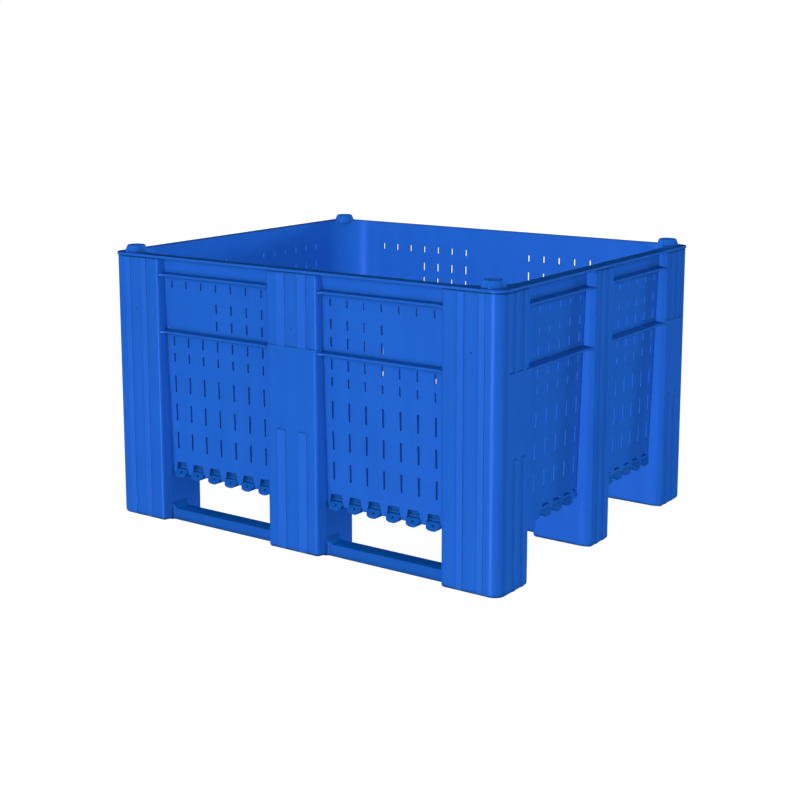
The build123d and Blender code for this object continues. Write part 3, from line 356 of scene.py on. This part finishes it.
    # fine grain of the mould surface and faint sink marks
    grain = node(t, "ShaderNodeTexNoise", (-350, -950))
    put(grain, "Scale", 620.0)
    put(grain, "Detail", 2.0)
    link(t, place.outputs["Vector"], grain.inputs["Vector"])
    fine = node(t, "ShaderNodeBump", (150, -800))
    put(fine, "Strength", 0.05)
    put(fine, "Distance", 0.0005)
    link(t, grain.outputs["Fac"], fine.inputs["Height"])
    link(t, soft.outputs[1], fine.inputs["Normal"])
    wave = node(t, "ShaderNodeTexNoise", (-350, -1150))
    put(wave, "Scale", 9.0)
    put(wave, "Detail", 1.0)
    link(t, place.outputs["Vector"], wave.inputs["Vector"])
    sink = node(t, "ShaderNodeBump", (350, -800))
    put(sink, "Strength", 0.10)
    put(sink, "Distance", 0.004)
    link(t, wave.outputs["Fac"], sink.inputs["Height"])
    link(t, fine.outputs["Normal"], sink.inputs["Normal"])
    link(t, sink.outputs["Normal"], bsdf.inputs["Normal"])
    return m


def zinc(name):
    m = bpy.data.materials.new(name)
    m.use_nodes = True
    t = m.node_tree
    bsdf = t.nodes["Principled BSDF"]
    put(bsdf, "Metallic", 1.0)
    co = node(t, "ShaderNodeTexCoord", (-900, 0))
    n = node(t, "ShaderNodeTexNoise", (-650, 0))
    put(n, "Scale", 260.0)
    put(n, "Detail", 4.0)
    link(t, co.outputs["Object"], n.inputs["Vector"])
    c = ramp(t, 0, 1, [(0.3, (0.48, 0.49, 0.51, 1)), (0.7, (0.66, 0.67, 0.69, 1))])
    link(t, n.outputs["Fac"], c.inputs["Fac"])
    link(t, c.outputs["Color"], bsdf.inputs["Base Color"])
    r = node(t, "ShaderNodeMapRange", (-350, -200))
    put(r, "To Min", 0.28)
    put(r, "To Max", 0.5)
    link(t, n.outputs["Fac"], r.inputs["Value"])
    link(t, r.outputs["Result"], bsdf.inputs["Roughness"])
    return m


BLUE = (0.0145, 0.121, 0.604)
tub = moulded("tub_plastic", BLUE, (0.0, 0.0, 0.0))
# the skids' up-facing faces are painted paler as painted light
skid = moulded(
    "skid_plastic", (0.0095, 0.100, 0.490), (3.1, 1.7, 0.4), rough=0.40, top_light=(0.004, 0.205, 0.73), levels=(0.030, 0.048)
)
ribs = moulded("rib_plastic", (0.0075, 0.104, 0.475), (1.3, 2.9, 0.7))
steel = zinc("screw_steel")

for name, o in nodes.items():
    m = skid if name.endswith("_skid") else steel if name == "skid_screws" else ribs if name == "floor_rib_grid" else tub
    o.data.materials.clear()
    o.data.materials.append(m)

# ------------------------------------------------------------------ floor and backdrop
def stage_mesh(name, verts, faces, emission, albedo):
    """Evenly pale surface that shows to the camera and throws no light back on the box."""
    me = bpy.data.meshes.new(name)
    me.from_pydata(verts, [], faces)
    o = bpy.data.objects.new(name, me)
    scene.collection.objects.link(o)
    o.visible_diffuse = False
    o.visible_glossy = False
    m = bpy.data.materials.new(name)
    m.use_nodes = True
    b = m.node_tree.nodes["Principled BSDF"]
    put(b, "Base Color", (albedo, albedo, albedo, 1))
    put(b, "Roughness", 1.0)
    put(b, "Specular IOR Level", 0.0)
    put(b, "Emission Color", (1, 1, 1, 1))
    put(b, "Emission Strength", emission)
    me.materials.append(m)
    return o


S = 40.0
floor = stage_mesh(
    "floor", [(-S, -S, -0.0005), (S, -S, -0.0005), (S, S, -0.0005), (-S, S, -0.0005)], [(0, 1, 2, 3)], 0.93, 0.28
)

# half dome round the floor
RINGS, TURNS, R = 12, 48, 38.0
ring_verts, ring_faces = [], []
for i in range(RINGS + 1):
    e = math.radians(-4.0 + 94.0 * i / RINGS)
    for k in range(TURNS):
        a = 2 * math.pi * k / TURNS
        ring_verts.append((R * math.cos(e) * math.cos(a), R * math.cos(e) * math.sin(a), R * math.sin(e)))
for i in range(RINGS):
    for k in range(TURNS):
        n = (k + 1) % TURNS
        ring_faces.append((i * TURNS + k, i * TURNS + n, (i + 1) * TURNS + n, (i + 1) * TURNS + k))
backdrop = stage_mesh("backdrop", ring_verts, ring_faces, 1.0, 0.0)
backdrop.visible_shadow = False

# ------------------------------------------------------------------ light
# low band of soft light all round, dim above and below
world = bpy.data.worlds.new("studio")
scene.world = world
world.use_nodes = True
wt = world.node_tree
bg = wt.nodes["Background"]
tc = node(wt, "ShaderNodeTexCoord", (-900, 0))
sep = node(wt, "ShaderNodeSeparateXYZ", (-700, 0))
link(wt, tc.outputs["Generated"], sep.inputs["Vector"])
rise = node(wt, "ShaderNodeMapRange", (-500, 0))
put(rise, "From Min", -1.0)
put(rise, "From Max", 1.0)
link(wt, sep.outputs["Z"], rise.inputs["Value"])
DIM, BAND = (0.016, 0.027, 0.025, 1), (0.19, 0.265, 0.252, 1)
sky = ramp(wt, 0, 1, [(0.0, DIM), (0.508, DIM), (0.522, BAND), (0.612, BAND), (0.632, DIM), (1.0, DIM)])
link(wt, rise.outputs["Result"], sky.inputs["Fac"])
link(wt, sky.outputs["Color"], bg.inputs["Color"])
put(bg, "Strength", 4.0)
world.cycles_visibility.glossy = False


def sun(name, toward, strength, angle):
    """Soft sun whose light comes from the given direction."""
    d = bpy.data.lights.new(name, "SUN")
    d.energy = strength
    d.angle = math.radians(angle)
    o = bpy.data.objects.new(name, d)
    o.rotation_mode = "QUATERNION"
    o.rotation_quaternion = (-Vector(toward)).to_track_quat("-Z", "Y")
    scene.collection.objects.link(o)
    return o


def direction(azimuth, elevation):
    a, e = math.radians(azimuth), math.radians(elevation)
    return (math.sin(a) * math.cos(e), -math.cos(a) * math.cos(e), math.sin(e))


# even fills from the four sides, brightest at the front left; the two near the camera throw no shadows
for name, azimuth, elevation, share, shadow in (
    ("front_fill", -15, 6, 0.82, False),
    ("right_fill", 86, 4, 0.415, False),
    ("left_fill", -95, 6, 0.52, True),
    ("rear_fill", 165, 6, 0.80, True),
):
    fill = sun(name, direction(azimuth, elevation), share * math.pi, 9)
    fill.data.use_shadow = shadow
    fill.visible_glossy = False

# weak light from above, for the floor and the rim
top = sun("top_fill", direction(0, 88), 0.20 * math.pi, 40)
top.visible_glossy = False

# low strip of light that shows only as a gleam along rounded edges
gleam = sun("gleam", direction(-8, -13), 0.45 * math.pi, 7)
gleam.data.use_shadow = False
gleam.visible_diffuse = False

# ------------------------------------------------------------------ camera
cam_data = bpy.data.cameras.new("camera")
cam = bpy.data.objects.new("camera", cam_data)
scene.collection.objects.link(cam)
scene.camera = cam
AZ, EL, FOCAL_PX, SHIFT_Y_PX = 34.7054, 9.6049, 1475.78, -92.0
back = Vector(direction(AZ, EL))
cam.location = (2.23039, -3.24967, 1.21514)
cam.rotation_mode = "QUATERNION"
cam.rotation_quaternion = (-back).to_track_quat("-Z", "Y")
cam_data.sensor_fit = "HORIZONTAL"
cam_data.sensor_width = 36.0
cam_data.lens = 36.0 * FOCAL_PX / 800.0
cam_data.shift_y = SHIFT_Y_PX / 800.0
cam_data.clip_start, cam_data.clip_end = 0.05, 200.0
cam_data.dof.use_dof = False

scene.view_settings.view_transform = "Standard"
scene.view_settings.look = "None"
scene.view_settings.exposure = 0.0
scene.view_settings.gamma = 1.0
